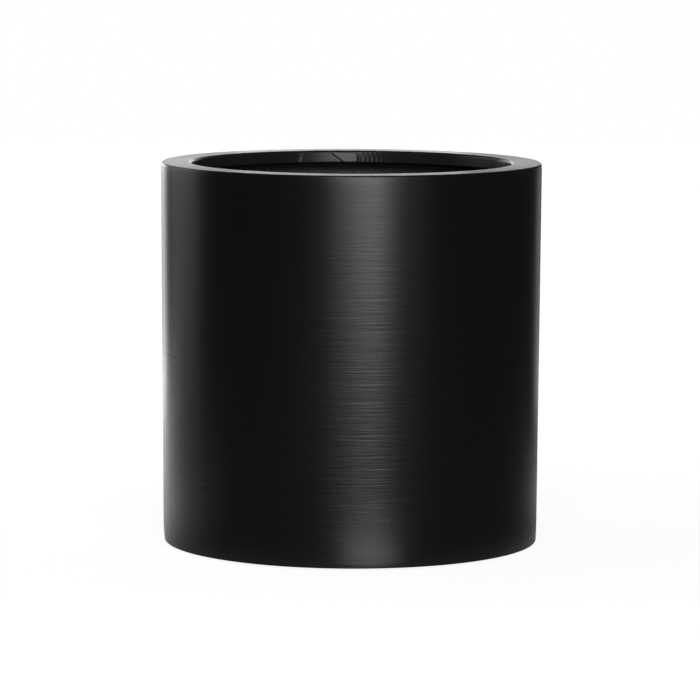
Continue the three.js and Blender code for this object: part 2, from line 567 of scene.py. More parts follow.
def new_tree(name: str, inputs: dict[str, tuple[str, ...]]) -> tuple[NodeTree, Adder, Any]:
    """Starts a Geometry Nodes tree.

    Args:
        name: the tree's name.
        inputs: the names of its inputs by their socket type, besides the geometry.

    Returns:
        The tree, add_node for it, and the outputs of its input node.
    """
    tree = bpy.data.node_groups.new(name, "GeometryNodeTree")
    tree.interface.new_socket("Geometry", in_out="INPUT", socket_type=SHAPE)
    for kind, labels in inputs.items():
        for label in labels:
            tree.interface.new_socket(label, in_out="INPUT", socket_type=kind)
    tree.interface.new_socket("Geometry", in_out="OUTPUT", socket_type=SHAPE)
    add = partial(add_node, tree)
    return tree, add, add("NodeGroupInput").outputs


def turning_tree() -> NodeTree:
    """Builds the tree that turns an outline about Z and works its two finishes.

    A grid has one column for each step round the axis and one row for each point of the
    outline. Each of its points takes its radius and height from the outline's point, then
    moves along its normal by the hand-worked unevenness of its finish.

    Returns:
        The tree.
    """
    inputs = {
        COUNT: ("Segments", "Outline Points"),
        NUMBER: (
            "Seed",
            "Paint Wave",
            "Paint Wavelength",
            "Laminate Relief",
            "Laminate Grain",
            "Wear Depth",
            "Wear Azimuth",
        ),
        FINISH: ("Painted", "Raw"),
    }
    tree, add, value = new_tree("turned_piece", inputs)
    count = value["Outline Points"]
    across = add(MATH, (value["Segments"], 1), operation="ADD")
    up = add(MATH, (count, 1), operation="ADD")
    grid = add(
        "GeometryNodeMeshGrid", {"Size X": 1.0, "Size Y": 1.0, "Vertices X": across, "Vertices Y": up}
    )
    position = add("GeometryNodeInputPosition")
    place = add(SPLIT, (position,)).outputs
    angle = add(MATH, (place[0], 2 * math.pi, math.pi), operation="MULTIPLY_ADD")
    half = add(MATH, (count, 0.5), operation="MULTIPLY")
    height = add(MATH, (place[1], count, half), operation="MULTIPLY_ADD")
    row = add(MATH, (height,), operation="ROUND")
    index = add(MATH, (row, count), operation="MODULO")
    lay, wear = [add(READ, (name,), data_type="FLOAT") for name in ("lay", "wear")]
    point, point_lay, point_wear = [
        add(
            "GeometryNodeSampleIndex",
            {"Geometry": value["Geometry"], "Value": source, "Index": index},
            data_type=kind,
        )
        for source, kind in ((position, "FLOAT_VECTOR"), (lay, "FLOAT"), (wear, "FLOAT"))
    ]
    marked = add(
        STORE, {"Geometry": grid, "Name": "lay", "Value": point_lay}, data_type="FLOAT", domain="POINT"
    )
    section = add(SPLIT, (point,)).outputs
    off_worn = add(MATH, (angle, value["Wear Azimuth"]), operation="SUBTRACT")
    facing = add(MATH, (off_worn,), operation="COSINE")
    worn_side = add(MATH, (facing, 0.0), operation="MAXIMUM")
    lobe = add(MATH, (worn_side, WEAR_FOCUS), operation="POWER")
    share = add(MATH, (point_wear, lobe), operation="MULTIPLY")
    worn = add(MATH, (share, value["Wear Depth"]), operation="MULTIPLY")
    radius = add(MATH, (section[0], worn), operation="SUBTRACT")
    level = []
    for operation in ("COSINE", "SINE"):
        turn = add(MATH, (angle,), operation=operation)
        level.append(add(MATH, (radius, turn), operation="MULTIPLY"))
    turned = add(JOIN, (*level, section[2]))
    shaped = add(MOVE, {"Geometry": marked, "Position": turned})
    closed = add("GeometryNodeMergeByDistance", {"Geometry": shaped, "Distance": WELD})
    heights = []
    for size, depth in (("Paint Wavelength", "Paint Wave"), ("Laminate Grain", "Laminate Relief")):
        scale = add(MATH, (1.0, value[size]), operation="DIVIDE")
        noise = add(
            NOISE,
            {"Vector": position, "W": value["Seed"], "Scale": scale, "Detail": WORKED_DETAIL},
            noise_dimensions="4D",
        )
        centred = add(MATH, (noise, 0.5), operation="SUBTRACT")
        heights.append(add(MATH, (centred, value[depth]), operation="MULTIPLY"))
    height = add("ShaderNodeMix", {"Factor": lay, "A": heights[0], "B": heights[1]}, data_type="FLOAT")
    normal = add("GeometryNodeInputNormal")
    push = add(VECTOR, {0: normal, "Scale": height}, operation="SCALE")
    worked = add(MOVE, {"Geometry": closed, "Offset": push})
    smooth = add("GeometryNodeSetShadeSmooth", (worked,))
    whole = add(REALIZE, (smooth,))
    painted = add(DRESS, {"Geometry": whole, "Material": value["Painted"]})
    is_raw = add(MATH, (lay, 0.5), operation="GREATER_THAN")
    both = add(DRESS, {"Geometry": painted, "Selection": is_raw, "Material": value["Raw"]})
    add(RESULT, (both,))
    return tree


def strand_tree() -> NodeTree:
    """Builds the tree that lays chopped glass strands on the raw faces of a mesh.

    Each strand is a flat closed bar. It is laid on a random point in a random direction, and
    its points are then let down onto the surface, so that it follows the wall's curve.

    Returns:
        The tree.
    """
    inputs = {
        COUNT: ("Seed",),
        NUMBER: (
            "Strands Per Area", "Strand Length", "Strand Width", "Strand Rise", "Least Facing", "Highest"
        ),
        FINISH: ("Finish",),
    }
    tree, add, value = new_tree("chopped_strands", inputs)
    position = add("GeometryNodeInputPosition")
    level = add(SPLIT, (position,)).outputs[2]
    outwards = add("GeometryNodeInputNormal")
    inner = add(VECTOR, (position, (-1, -1, 0)), operation="MULTIPLY")
    above = add(VECTOR, (inner, (0, 0, UPWARD_SHARE)), operation="ADD")
    towards = add(VECTOR, (above,), operation="NORMALIZE")
    facing = add(VECTOR, (outwards, towards), operation="DOT_PRODUCT")
    low = add(MATH, (level, value["Highest"]), operation="LESS_THAN")
    faced = add(MATH, (facing, value["Least Facing"]), operation="GREATER_THAN")
    inside = add(
        "GeometryNodeSeparateGeometry",
        {"Geometry": value["Geometry"], "Selection": add(MATH, (low, faced), operation="MULTIPLY")},
        domain="FACE",
    )
    spots = add(
        "GeometryNodeDistributePointsOnFaces",
        {"Mesh": inside, "Density": value["Strands Per Area"], "Seed": value["Seed"]},
    )
    middle = add(MATH, (value["Strand Length"], 0.5), operation="MULTIPLY")
    ends = []
    for side in (-1.0, 1.0):
        end = add(MATH, (middle, side), operation="MULTIPLY")
        ends.append(add(JOIN, (end,)))
    line = add("GeometryNodeCurvePrimitiveLine", {"Start": ends[0], "End": ends[1]})
    stepped = add("GeometryNodeResampleCurve", {"Curve": line, "Count": STRAND_POINTS})
    section = add(
        "GeometryNodeCurvePrimitiveQuadrilateral",
        {"Width": value["Strand Width"], "Height": value["Strand Rise"]},
    )
    bar = add("GeometryNodeCurveToMesh", {"Curve": stepped, "Profile Curve": section, "Fill Caps": True})
    lifted = add(
        STORE, {"Geometry": bar, "Name": "lift", "Value": level}, data_type="FLOAT", domain="POINT"
    )
    spin = add(
        "FunctionNodeRandomValue",
        {"Min": (0, 0, 0), "Max": (0, 0, 2 * math.pi), "Seed": value["Seed"]},
        data_type="FLOAT_VECTOR",
    )
    turn = add("FunctionNodeEulerToRotation", (spin,))
    turned = add(
        "FunctionNodeRotateRotation",
        {"Rotation": spots.outputs["Rotation"], "Rotate By": turn},
        rotation_space="LOCAL",
    )
    laid = add(COPY, {"Points": spots, "Instance": lifted, "Rotation": turned})
    whole = add(REALIZE, (laid,))
    surface = add("GeometryNodeProximity", (inside,))
    normal = add(
        "GeometryNodeSampleNearestSurface", {"Mesh": inside, "Value": outwards}, data_type="FLOAT_VECTOR"
    )
    lift = add(READ, ("lift",), data_type="FLOAT")
    rise = add(VECTOR, {0: normal, "Scale": lift}, operation="SCALE")
    down = add(VECTOR, (surface, rise), operation="ADD")
    draped = add(MOVE, {"Geometry": whole, "Position": down})
    dressed = add(DRESS, {"Geometry": draped, "Material": value["Finish"]})
    add(RESULT, (dressed,))
    return tree


def ring_tree() -> NodeTree:
    """Builds the tree that repeats a piece at even steps round the axis.

    Returns:
        The tree.
    """
    inputs = {COUNT: ("Count",), NUMBER: ("Ring Radius", "First Angle"), FINISH: ("Finish",)}
    tree, add, value = new_tree("pieces_in_a_ring", inputs)
    ring = add("GeometryNodeMeshCircle", {"Vertices": value["Count"], "Radius": value["Ring Radius"]})
    turn = add(JOIN, {2: value["First Angle"]})
    turned = add("GeometryNodeTransform", {"Geometry": ring, "Rotation": turn})
    copies = add(COPY, {"Points": turned, "Instance": value["Geometry"]})
    whole = add(REALIZE, (copies,))
    dressed = add(DRESS, {"Geometry": whole, "Material": value["Finish"]})
    add(RESULT, (dressed,))
    return tree


@dataclass
class Workshop:
    """The finishes and the Geometry Nodes trees that the sub-assemblies share."""

    finishes: Finishes = field(default_factory=Finishes)
    turning: NodeTree = field(default_factory=turning_tree)
    strands: NodeTree = field(default_factory=strand_tree)
    ring: NodeTree = field(default_factory=ring_tree)


def no_wear(r: float, z: float) -> float:
    """Gives the wear of a piece that has none."""
    return 0.0


def hand_over(piece: Object, body: Body, slot: Slot, *nodes: str) -> Object:
    """Hangs a finished piece on the body that carries it and hides the CAD nodes that it replaces.

    Args:
        piece: the finished piece.
        body: the body that carries it.
        slot: the piece's material slot; not used.
        *nodes: the CAD nodes that it replaces, if any.

    Returns:
        The piece.
    """
    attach(piece, body.value)
    if nodes:
        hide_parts(*nodes)
    return piece


@dataclass
class TurnedPiece:
    """A piece turned about Z, with a painted finish and a raw one."""

    name: str
    outline: Outline
    shop: Workshop
    painted: Material
    raw: Material
    segments: int = 192
    seed: float = 1.0
    paint_wave_mm: float = 0.0
    paint_wavelength_mm: float = 90.0
    laminate_relief_mm: float = 0.0
    laminate_grain_mm: float = 9.0
    wear: Wear = no_wear
    wear_depth: float = 0.0
    wear_azimuth: float = 0.0  # degrees from +X

    def build(self) -> Object:
        """Runs the turning tree and makes sure that the faces point outwards.

        Returns:
            The piece.
        """
        values = {
            "Segments": self.segments,
            "Outline Points": len(self.outline.points),
            "Seed": self.seed,
            "Paint Wave": self.paint_wave_mm * MM,
            "Paint Wavelength": self.paint_wavelength_mm * MM,
            "Laminate Relief": self.laminate_relief_mm * MM,
            "Laminate Grain": self.laminate_grain_mm * MM,
            "Wear Depth": self.wear_depth,
            "Wear Azimuth": math.radians(self.wear_azimuth),
            "Painted": self.painted,
            "Raw": self.raw,
        }
        base = self.outline.mesh(self.name + "_outline", self.wear)
        made = NodeRecipe(self.shop.turning, values).run(self.name, base)
        if enclosed_volume(made.data) < 0:
            made.data.flip_normals()
        return made


# ---- Shell: wall, rim and lip tape ----


@dataclass
class Shell:
    """The laminate wall and the rim bonded on top of it, sanded and painted as one."""

    shop: Workshop
    wall_box: Box = cad_box("side_wall")
    rim_box: Box = cad_box("rim_ring")
    wall_thickness: float = 6 * MM
    draft: float = 3 * MM
    foot_edge: float = 1.5 * MM
    rim_width: float = 38.5 * MM  # to the bare lip; the tape covers the rest
    rim_thickness: float = 6 * MM
    rim_outer_edge: float = 2.5 * MM
    rim_inner_edge: float = 2.5 * MM
    lip_depth: float = 17.5 * MM
    lip_thickness: float = 5 * MM
    lip_edge: float = 1.2 * MM
    leg_thickness: float = 4 * MM
    root: float = 4 * MM
    head_roll: float = 0.35 * MM  # sanded away under the rim's edge ...
    head_roll_height: float = 14 * MM  # ... over this height
    foot_roll: float = 0.7 * MM
    foot_roll_height: float = 30 * MM
    foot_wear: float = 0.9 * MM  # rubbed away more on one side of the foot
    foot_wear_height: float = 26 * MM
    foot_wear_azimuth: float = 178.0
    segments: int = 384

    @property
    def foot_level(self) -> float:
        """Height of the wall's foot."""
        return self.wall_box[0].z

    @property
    def top_level(self) -> float:
        """Height of the rim's top face."""
        return self.rim_box[1].z

    @property
    def top_radius(self) -> float:
        """Outer radius at the rim."""
        return self.rim_box[1].x

    @property
    def lip_face(self) -> float:
        """Radius of the bare lip's face."""
        return self.top_radius - self.rim_width

    def draft_radius(self, z: float) -> float:
        """Gives the outer radius that the mould left at a height."""
        share = (z - self.foot_level) / (self.top_level - self.foot_level)
        return self.top_radius - self.draft * (1 - share)

    def outer_radius(self, z: float) -> float:
        """Gives the sanded wall's outer radius at a height.

        Args:
            z: the height.

        Returns:
            The radius, a little less near the rim and near the foot.
        """
        head = max(0.0, 1 - (self.top_level - z) / self.head_roll_height)
        foot = max(0.0, 1 - (z - self.foot_level) / self.foot_roll_height)
        return self.draft_radius(z) - self.head_roll * head**2 - self.foot_roll * foot**2

    def inner_radius(self, z: float) -> float:
        """Gives the wall's inner radius at a height."""
        return self.draft_radius(z) - self.wall_thickness

    def wear(self, r: float, z: float) -> float:
        """Gives the share of the foot's wear at a radius and height.

        Args:
            r: the radius.
            z: the height.

        Returns:
            1 at the outside of the foot, less further in and further up.
        """
        depth = (r - self.inner_radius(z)) / self.wall_thickness
        rise = 1 - (z - self.foot_level) / self.foot_wear_height
        return max(0.0, depth) * max(0.0, rise) ** 2

    def outline(self) -> Outline:
        """Traces the wall and the rim as one section.

        Returns:
            The outline.
        """
        foot, top = self.foot_level, self.top_level
        lip_back = self.lip_face + self.lip_thickness
        under = top - self.rim_thickness
        lip_foot = top - self.lip_depth
        leg_foot = self.rim_box[0].z
        leg_face = self.inner_radius(leg_foot) - self.leg_thickness
        edge_foot = foot + self.foot_edge
        edge_top = top - self.rim_outer_edge
        painted, raw = Lay.PAINTED, Lay.RAW
        path = Outline()
        path.to(self.inner_radius(foot), foot, raw)
        path.arc(
            (self.outer_radius(edge_foot) - self.foot_edge, edge_foot), self.foot_edge, (-90, 0), painted
        )
        path.sweep(self.outer_radius, edge_foot, edge_top, painted, 60)
        path.arc(
            (self.outer_radius(edge_top) - self.rim_outer_edge, edge_top),
            self.rim_outer_edge,
            (0, 90),
            painted,
            10,
        )
        path.to(self.lip_face + self.rim_inner_edge, top, painted, 10)
        path.arc(
            (self.lip_face + self.rim_inner_edge, top - self.rim_inner_edge),
            self.rim_inner_edge,
            (90, 180),
            painted,
        )
        path.to(self.lip_face, lip_foot + self.lip_edge, painted, 4)
        path.arc(
            (self.lip_face + self.lip_edge, lip_foot + self.lip_edge), self.lip_edge, (180, 270), painted, 4
        )
        path.arc((lip_back - self.lip_edge, lip_foot + self.lip_edge), self.lip_edge, (270, 360), raw, 4)
        path.arc((lip_back + self.root, under - self.root), self.root, (180, 90), raw, 5)
        path.to(leg_face - self.root, under, raw, 4)
        path.arc((leg_face - self.root, under - self.root), self.root, (90, 0), raw, 5)
        path.to(leg_face, leg_foot, raw, 4)
        path.to(self.inner_radius(leg_foot - self.root), leg_foot - self.root, raw, 3)
        path.sweep(self.inner_radius, leg_foot - self.root, foot, raw, 92)
        path.points.pop()
        return path

    def build(self) -> Object:
        """Turns the shell.

        Returns:
            The piece.
        """
        made = TurnedPiece(
            "painted_shell",
            self.outline(),
            self.shop,
            self.shop.finishes.paint,
            self.shop.finishes.laminate,
            segments=self.segments,
            paint_wave_mm=0.2,
            laminate_relief_mm=0.9,
            wear=self.wear,
            wear_depth=self.foot_wear,
            wear_azimuth=self.foot_wear_azimuth,
        ).build()
        return hand_over(made, Body.PLANTER, Slot.PAINT, "side_wall", "rim_ring")


@dataclass(frozen=True)
class TapePatch:
    """A stretch of the lip where tape or filler lies over the first layer of tape.

    Its ends lean: each has one azimuth at the tape's lower edge and one at its upper edge.
    """

    start_foot: float  # degrees from +X
    start_head: float
    end_foot: float
    end_head: float
    thickness_mm: float
    wedge_mm: float  # how much thicker it is at its lower edge, where resin ran down
    start_ramp: float  # degrees in which each end rises
    end_ramp: float

    def rise(self, azimuth: np.ndarray, share: np.ndarray) -> np.ndarray:
        """Gives how far the patch stands off the first layer.

        Args:
            azimuth: degrees from +X.
            share: place across the tape, 0 at its lower edge and 1 at its upper edge.

        Returns:
            The rise in metres.
        """
        start = self.start_foot + (self.start_head - self.start_foot) * share
        end = self.end_foot + (self.end_head - self.end_foot) * share
        up = np.clip((azimuth - start) / self.start_ramp, 0, 1)
        down = np.clip((end - azimuth) / self.end_ramp, 0, 1)
        body = (self.thickness_mm + self.wedge_mm * (1 - share)) * MM
        return body * up**2 * (3 - 2 * up) * down**2 * (3 - 2 * down)


@dataclass
class LipTape:
    """Glass tape laid round the lip in resin: feathered edges, a lap, and its weave at the lap."""

    shop: Workshop
    shell: Shell
    feather: float = 1.4 * MM
    thickness: float = 1.2 * MM
    sink: float = 0.15 * MM  # how far its edges are set into the lip's face
    edge_margin: float = 0.6 * MM
    across: int = 16
    lap_from: float = 68.0  # degrees from +X, the stretch that needs fine steps
    lap_to: float = 116.0
    fine_step: float = 0.15
    coarse_step: float = 1.5
    weave_from: float = 74.5
    weave_to: float = 88.5
    weave_pitch_mm: float = 6.2
    weave_lean_mm: float = 2.4  # how far the crossing threads lean either way over the tape
    weave_depth_mm: float = 0.09
    weave_fade: float = 9.0  # degrees in which the threads fade out
    patches: tuple[TapePatch, ...] = (
        TapePatch(87.0, 87.0, 92.9, 98.9, 0.8, 1.2, 1.6, 0.5),
        TapePatch(92.6, 98.6, 110.6, 109.6, 0.3, 0.5, 0.5, 1.8),
        TapePatch(92.6, 98.6, 110.6, 109.6, 0.0, 0.4, 0.5, 14.0),
    )

    def lip_radius(self, z: np.ndarray) -> np.ndarray:
        """Gives the radius of the bare lip's face, with its rounded upper and lower edges.

        Args:
            z: heights on the lip.

        Returns:
            The radii.
        """
        shell = self.shell
        head = np.clip(z - (shell.top_level - shell.rim_inner_edge), 0, shell.rim_inner_edge)
        foot_edge = shell.top_level - shell.lip_depth + shell.lip_edge
        foot = np.clip(foot_edge - z, 0, shell.lip_edge)
        return (
            shell.lip_face
            + shell.rim_inner_edge - np.sqrt(shell.rim_inner_edge**2 - head**2)
            + shell.lip_edge - np.sqrt(shell.lip_edge**2 - foot**2)
        )

    def azimuths(self) -> np.ndarray:
        """Gives the steps round the lip, fine at the lap and coarse elsewhere.

        Returns:
            Degrees from +X, over one turn.
        """
        fine = np.arange(self.lap_from, self.lap_to, self.fine_step)
        rest = np.arange(self.lap_to, self.lap_from + 360, self.coarse_step)
        return np.concatenate([fine, rest])

    def weave(self, azimuth: np.ndarray, share: np.ndarray) -> np.ndarray:
        """Gives the relief of the threads that show where the tape was rubbed down.

        Args:
            azimuth: degrees from +X.
            share: place across the tape, from 0 to 1.

        Returns:
            The relief in metres.
        """
        along = np.radians(azimuth) * self.shell.lip_face / MM
        threads = sum(
            np.sin(2 * math.pi * (along + lean * share) / self.weave_pitch_mm)
            for lean in (-self.weave_lean_mm, self.weave_lean_mm)
        )
        fade = np.clip((azimuth - self.weave_from) / self.weave_fade, 0, 1)
        return self.weave_depth_mm * MM * threads * fade * (azimuth < self.weave_to)

    def build(self) -> Object:
        """Sweeps the tape's section round the lip and closes it on itself.

        Returns:
            The piece.
        """
        shell = self.shell
        low = shell.top_level - shell.lip_depth + self.edge_margin
        high = shell.top_level - self.edge_margin
        share = np.linspace(0, 1, self.across)
        azimuth = self.azimuths()
        turn, place = np.meshgrid(azimuth, share, indexing="ij")
        z = low + (high - low) * place
        edge = np.minimum(z - low, high - z) / self.feather
        body = np.clip(edge, 0, 1)
        cover = body * (2 - body)
        lift = (self.thickness + self.sink) * cover - self.sink
        lift += cover * sum(patch.rise(turn, place) for patch in self.patches)
        lift += cover * self.weave(turn, place)
        front = self.lip_radius(z) - lift
        back = self.lip_radius(z[:, -2:0:-1]) + 2 * self.sink
        radii = np.concatenate([front, back], axis=1)
        levels = np.concatenate([z, z[:, -2:0:-1]], axis=1)
        angle = np.radians(azimuth)[:, None]
        vertices = np.stack([radii * np.cos(angle), radii * np.sin(angle), levels], axis=2)
        turns, loop = radii.shape
        faces = [
            (
                i * loop + j,
                i * loop + (j + 1) % loop,
                (i + 1) % turns * loop + (j + 1) % loop,
                (i + 1) % turns * loop + j,
            )
            for i in range(turns)
            for j in range(loop)
        ]
        mesh = bpy.data.meshes.new("bonded_lip_tape")
        mesh.from_pydata(vertices.reshape(-1, 3).tolist(), [], faces)
        mesh.shade_smooth()
        mesh.materials.append(self.shop.finishes.dulled_paint)
        if enclosed_volume(mesh) < 0:
            mesh.flip_normals()
        made = link_object("bonded_lip_tape", mesh)
        return hand_over(made, Body.PLANTER, Slot.PAINT, "lip_tape")


# ---- Floor ----


@dataclass
class Floor:
    """The dished floor panel, and the laminated fillet that bonds it to the wall."""

    shop: Workshop
    shell: Shell
    panel_box: Box = cad_box("floor_panel")
    fillet_box: Box = cad_box("floor_fillet")
    thickness: float = 6 * MM
    foot_ring: float = 42 * MM
    drain_radius: float = 12.5 * MM
    drain_chamfer: float = 1.5 * MM
    fillet_leg: float = 24 * MM
    corner: float = 4 * MM  # mat bends no tighter than this
    bend_run: float = 0.3  # where a bend's middle lies, as shares of the corner
    bend_rise: float = 0.6
    bond_line: float = 0.3 * MM

    def panel(self) -> Object:
        """Turns the floor panel.

        Returns:
            The piece.
        """
        foot, top = self.panel_box[0].z, self.panel_box[1].z
        ring_top = foot + self.thickness
        under = top - self.thickness
        seat = self.shell.inner_radius(foot) - self.bond_line
        ring = seat - self.foot_ring
        rise = ring - (top - ring_top)
        raw = Lay.RAW
        path = Outline()
        path.to(ring, foot, raw).to(seat, foot, raw, 8).to(seat, ring_top, raw, 2)
        path.to(ring + self.corner, ring_top, raw, 7)
        run, lift = self.bend_run * self.corner, self.bend_rise * self.corner
        path.to(ring - run, ring_top + lift, raw, 3).to(rise + run, top - lift, raw, 3)
        path.to(rise - self.corner, top, raw, 3)
        path.to(self.drain_radius + self.drain_chamfer, top, raw, 44)
        path.to(self.drain_radius, top - self.drain_chamfer, raw, 2)
        path.to(self.drain_radius, under, raw, 2).to(rise, under, raw, 30).to(ring, foot, raw, 3)
        path.points.pop()
        laminate = self.shop.finishes.laminate
        made = TurnedPiece(
            "dished_floor", path, self.shop, laminate, laminate, seed=4.0, laminate_relief_mm=0.7
        ).build()
        return hand_over(made, Body.PLANTER, Slot.LAMINATE, "floor_panel")

    def fillet(self) -> Object:
        """Turns the fillet between the wall and the floor.

        Returns:
            The piece.
        """
        foot, top = self.fillet_box[0].z, self.fillet_box[1].z
        outer = self.shell.inner_radius(foot) - self.bond_line
        raw = Lay.RAW
        path = Outline()
        path.to(outer, foot, raw).to(self.shell.inner_radius(top) - self.bond_line, top, raw, 8)
        path.arc((outer - self.fillet_leg, top), self.fillet_leg, (-2, -88), raw, 14)
        laminate = self.shop.finishes.laminate
        made = TurnedPiece(
            "floor_fillet_laminate",
            path,
            self.shop,
            laminate,
            laminate,
            segments=256,
            seed=7.0,
            laminate_relief_mm=0.8,
        ).build()
        return hand_over(made, Body.PLANTER, Slot.LAMINATE, "floor_fillet")


@dataclass
class StrandMat:
    """Chopped glass strands that print through the resin of a raw face."""

    shop: Workshop
    strands_per_area: float = 3200.0  # a tenth of the real count; enough to break the surface up
    length_mm: float = 34.0
    width_mm: float = 1.3
    rise_mm: float = 0.5
    least_facing: float = 0.35  # how squarely a face looks at the planter's inside

    def build(self, name: str, surface: Object, highest: float, seed: int) -> Object:
        """Lays strands on the faces of a finished piece that look into the planter.

        Args:
            name: the new piece's name.
            surface: the piece that they lie on.
            highest: no strand lies above this height.
            seed: fixes their places.

        Returns:
            The strands, as one piece.
        """
        values = {
            "Strands Per Area": self.strands_per_area,
            "Seed": seed,
            "Strand Length": self.length_mm * MM,
            "Strand Width": self.width_mm * MM,
            "Strand Rise": self.rise_mm * MM,
            "Least Facing": self.least_facing,
            "Highest": highest,
            "Finish": self.shop.finishes.laminate,
        }
        made = NodeRecipe(self.shop.strands, values).run(name, surface.data.copy())
        return hand_over(made, Body.PLANTER, Slot.LAMINATE)


# ---- Rubber parts ----


@dataclass
class DrainPlug:
    """Rubber bung with a grooved head, sealing ribs and a hollow stem."""

    shop: Workshop
    box: Box = cad_box("drain_plug")
    head_thickness: float = 3.5 * MM
    head_edge: float = 1.5 * MM
    groove_radius: float = 13 * MM
    groove: float = 0.7 * MM
    rib_radius: float = 12.2 * MM
    rib_depth: float = 0.9 * MM
    rib_count: int = 2
    rib_points: int = 9
    rib_gap: float = 3.0  # how often half a rib goes into the way from one rib to the next
    stem_wall: float = 3.5 * MM
    web: float = 3 * MM
    lead: float = 1 * MM
    segments: int = 96

    def build(self) -> Object:
        """Turns the plug.

        Returns:
            The piece.
        """
        foot, top = self.box[0].z, self.box[1].z
        head_radius = self.box[1].x
        head_foot = top - self.head_thickness
        stem = self.rib_radius - self.rib_depth
        hollow = stem - self.stem_wall
        pitch = (head_foot - foot - self.lead) / (self.rib_count + 1)
        skin = Lay.PAINTED
        path = Outline()
        path.to(0, top - self.web, skin).to(hollow - self.lead, top - self.web, skin, 3)
        path.to(hollow, top - self.web - self.lead, skin, 2).to(hollow, foot, skin, 4)
        path.to(stem - self.lead, foot, skin, 3).to(stem, foot + self.lead, skin, 2)
        for i in range(1, self.rib_count + 1):
            crest = foot + self.lead + pitch * i
            for step in np.linspace(-1, 1, self.rib_points):
                swell = self.rib_depth * math.cos(step * math.pi / 2)
                path.to(stem + swell, crest + step * pitch / self.rib_gap, skin)
        path.to(stem, head_foot, skin, 2).to(head_radius - self.lead / 2, head_foot, skin, 6)
        path.to(head_radius, head_foot + self.lead / 2, skin)
        path.arc((head_radius - self.head_edge, top - self.head_edge), self.head_edge, (0, 90), skin)
        path.to(self.groove_radius + self.groove, top, skin, 4)
        path.arc((self.groove_radius, top), self.groove, (0, -180), skin, 8)
        path.to(0, top, skin, 8)
        rubber = self.shop.finishes.rubber
        made = TurnedPiece(
            "rubber_drain_plug", path, self.shop, rubber, rubber, segments=self.segments
        ).build()
        return hand_over(made, Body.PLUG, Slot.RUBBER, "drain_plug")


@dataclass
class FootPads:
    """Rubber pads under the foot, each with a shallow ring moulded into its sole."""

    shop: Workshop
    nodes: tuple[str, ...] = ("foot_pad_1", "foot_pad_2", "foot_pad_3", "foot_pad_4")
    edge: float = 0.5 * MM
    groove_radius: float = 9 * MM
    groove: float = 0.6 * MM
    segments: int = 64

    def build(self) -> Object:
        """Turns one pad and repeats it round the foot.

        Returns:
            The pads, as one piece.
        """
        low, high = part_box(self.nodes[0])
        centre = (low + high) / 2
        radius = (high.x - low.x) / 2
        skin = Lay.PAINTED
        path = Outline()
        path.to(0, 0, skin).to(self.groove_radius - self.groove, 0, skin, 6)
        path.arc((self.groove_radius, 0), self.groove, (180, 0), skin, 8)
        path.to(radius - self.edge, 0, skin, 4)
        path.arc((radius - self.edge, self.edge), self.edge, (-90, 0), skin, 5)
        path.to(radius, high.z, skin, 2).to(0, high.z, skin, 10)
        rubber = self.shop.finishes.rubber
        pad = TurnedPiece("pad", path, self.shop, rubber, rubber, segments=self.segments).build()
        base = pad.data.copy()
        bpy.data.objects.remove(pad)
        values = {
            "Count": len(self.nodes),
            "Ring Radius": centre.xy.length,
            "First Angle": math.atan2(centre.y, centre.x),
            "Finish": rubber,
        }
        made = NodeRecipe(self.shop.ring, values).run("rubber_foot_pads", base)
        return hand_over(made, Body.PLANTER, Slot.RUBBER, *self.nodes)


# ---- Studio ----


@dataclass(frozen=True)
class Softbox:
    """An upright lamp that faces the planter's axis, between two heights."""

    name: str
    azimuth: float  # degrees round the planter from the camera's side, positive to the right
    distance: float
    width: float
    low: float
    high: float
    brightness: float

    def build(self) -> Object:
        """Hangs the lamp.

        Returns:
            The lamp's object.
        """
        tall = self.high - self.low
        data = bpy.data.lights.new(self.name, "AREA")
        data.shape = "RECTANGLE"
        data.size = self.width
        data.size_y = tall
        data.energy = self.brightness * math.pi * self.width * tall
        lamp = link_object(self.name, data)
        turn = math.radians(self.azimuth)
        across = Vector((math.sin(turn), -math.cos(turn), 0))
        lamp.location = self.distance * across + Vector((0, 0, (self.low + self.high) / 2))
        lamp.rotation_euler = (-across).to_track_quat("-Z", "Y").to_euler()
        lamp.visible_camera = False
        return lamp


@dataclass(frozen=True)
class Pool:
    """A painted pool of light on the sweep, which only reflections see: even inside and fading to nothing
    at its edge.
    """

    centre: tuple[float, float]
    inner: float
    outer: float
    glow: float


